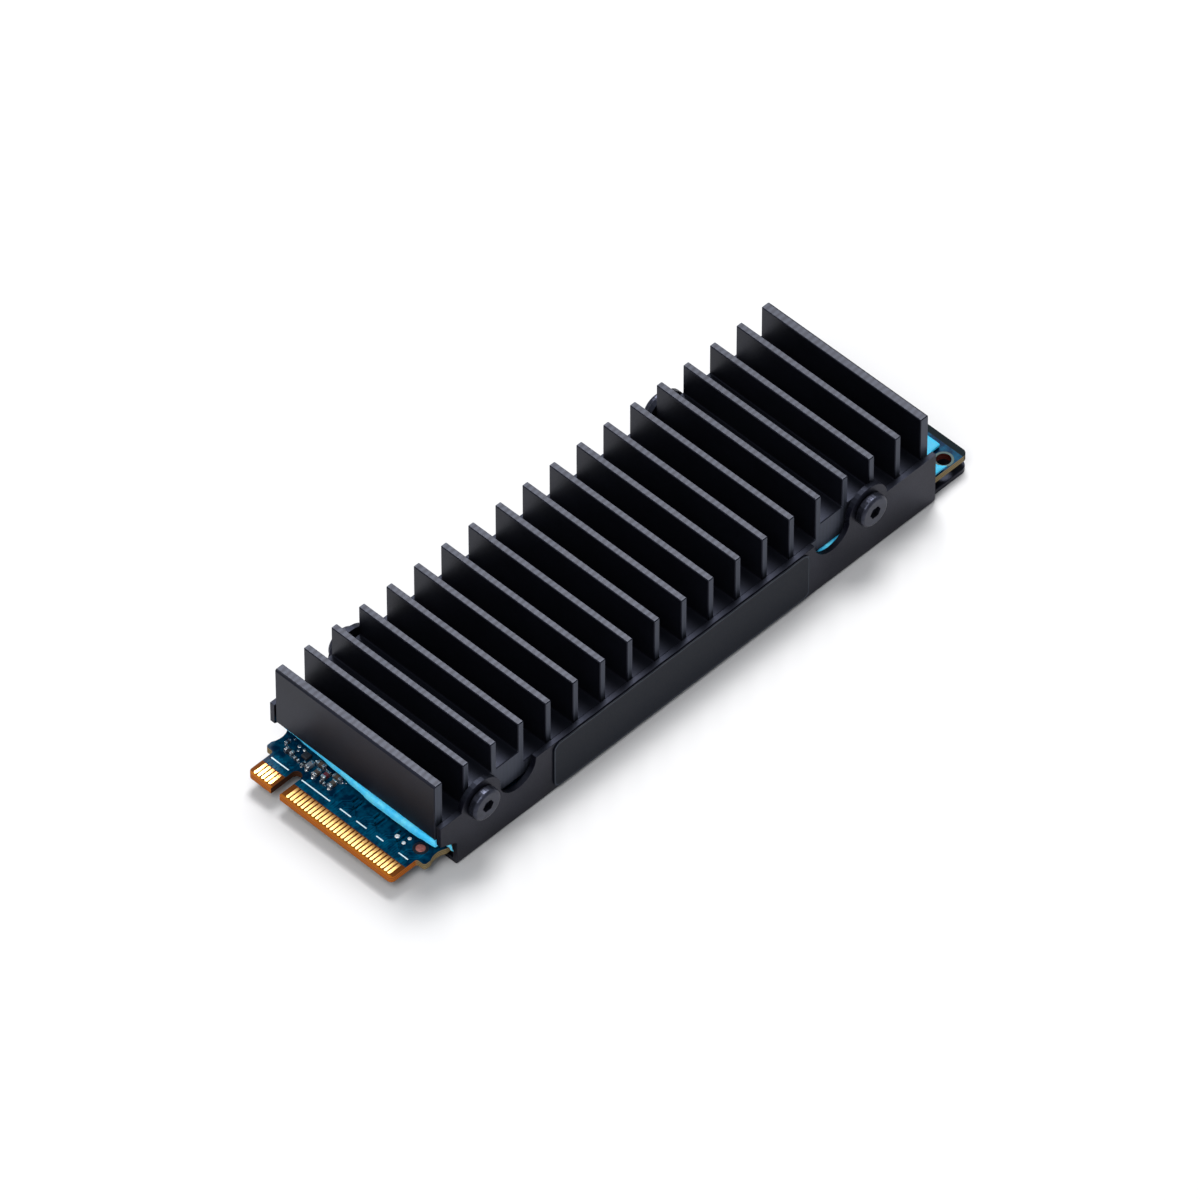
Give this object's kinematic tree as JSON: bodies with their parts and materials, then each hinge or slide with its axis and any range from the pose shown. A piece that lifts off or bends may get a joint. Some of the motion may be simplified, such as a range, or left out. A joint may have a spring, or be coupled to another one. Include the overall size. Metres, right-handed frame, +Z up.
{
  "type": "solid-state drive module",
  "caption": "Narrow edge-connector storage card clamped between a finned heatsink and a folded tray held by side screws.",
  "frame": {"origin": "centre of the bounding box's bottom face, on the tray's underside below the middle of the card", "axes": "+X along the card from the connector tongue to the mounting end, +Y across it towards the small tab beside the key notch, +Z up through the fins"},
  "size_m": [0.08, 0.0256, 0.0123],
  "materials": {
    "board": "glass-epoxy board under dark teal solder mask, gold-plated contacts",
    "anodised_heatsink": "dark grey anodised, fin tops finely milled",
    "anodised_tray": "dark grey anodised, satin",
    "black_steel": "black-plated",
    "silicone_pad": "soft light-blue silicone thermal pad",
    "moulded_package": "black moulding compound",
    "chip_ceramic": "tan ceramic with tinned ends",
    "label_film": "bare dark polyester film"
  },
  "bodies": {
    "root": {"pcb": "board", "heatsink": "anodised_heatsink", "bottom_tray": "anodised_tray", "screw_near_front": "black_steel", "screw_near_rear": "black_steel", "screw_far_front": "black_steel", "screw_far_rear": "black_steel", "thermal_pad_top": "silicone_pad", "thermal_pad_bottom": "silicone_pad", "controller_chip": "moulded_package", "dram_chip": "moulded_package", "nand_chip_front": "moulded_package", "nand_chip_rear": "moulded_package", "power_chip": "moulded_package", "inductor_1": "moulded_package", "inductor_2": "moulded_package", "crystal": "moulded_package", "sensor_chip": "moulded_package", "capacitor_1": "chip_ceramic", "capacitor_2": "chip_ceramic", "capacitor_3": "chip_ceramic", "capacitor_4": "chip_ceramic", "capacitor_5": "chip_ceramic", "capacitor_6": "chip_ceramic", "capacitor_7": "chip_ceramic", "capacitor_8": "chip_ceramic", "capacitor_9": "chip_ceramic", "resistor_1": "chip_ceramic", "resistor_2": "chip_ceramic", "side_label": "label_film"}
  },
  "joints": []
}
